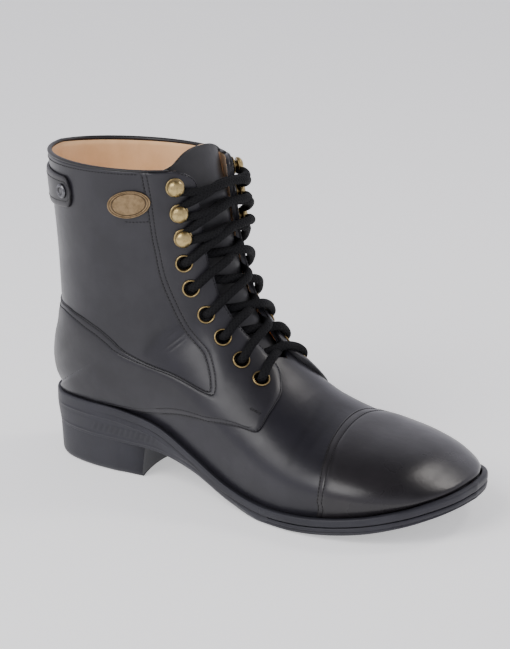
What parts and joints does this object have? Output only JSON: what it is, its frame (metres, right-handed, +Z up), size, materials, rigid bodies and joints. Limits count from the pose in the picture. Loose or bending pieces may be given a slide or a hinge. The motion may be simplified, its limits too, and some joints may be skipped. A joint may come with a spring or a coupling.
{
  "type": "paddock boot",
  "caption": "Ankle-high lace-up riding boot for the right foot with toe cap, seamed quarters, brass eyelets and speed hooks, back strap with snaps, moulded rubber sole and block heel",
  "frame": {"origin": "on the floor under the middle of the heel block, on the line from the middle of the heel towards the toe", "axes": "+X from the heel to the toe, +Y to the inner side of the foot, +Z up; the floor is z = 0"},
  "size_m": [0.292, 0.1203, 0.1979],
  "materials": {
    "leather": "smooth black leather with a soft sheen",
    "sole_rubber": "satin black moulded rubber",
    "tan_lining": "matt tan lining leather",
    "lace": "matt black woven cord",
    "brass": "antique brass, half polished"
  },
  "bodies": {
    "root": {"back_strap": "leather", "badge": "brass", "collar_binding": "leather", "eyelet_inner_1": "brass", "eyelet_inner_2": "brass", "eyelet_inner_3": "brass", "eyelet_inner_4": "brass", "eyelet_inner_5": "brass", "eyelet_inner_6": "brass", "eyelet_outer_1": "brass", "eyelet_outer_2": "brass", "eyelet_outer_3": "brass", "eyelet_outer_4": "brass", "eyelet_outer_5": "brass", "eyelet_outer_6": "brass", "heel": "sole_rubber", "hook_inner_1": "brass", "hook_inner_2": "brass", "hook_inner_3": "brass", "hook_outer_1": "brass", "hook_outer_2": "brass", "hook_outer_3": "brass", "insole": "tan_lining", "laces": "lace", "outsole": "sole_rubber", "quarter_inner": "leather", "quarter_outer": "leather", "snap_inner": "brass", "snap_outer": "brass", "toe_cap": "leather", "tongue": "leather", "upper": "leather", "welt": "sole_rubber"}
  },
  "joints": []
}
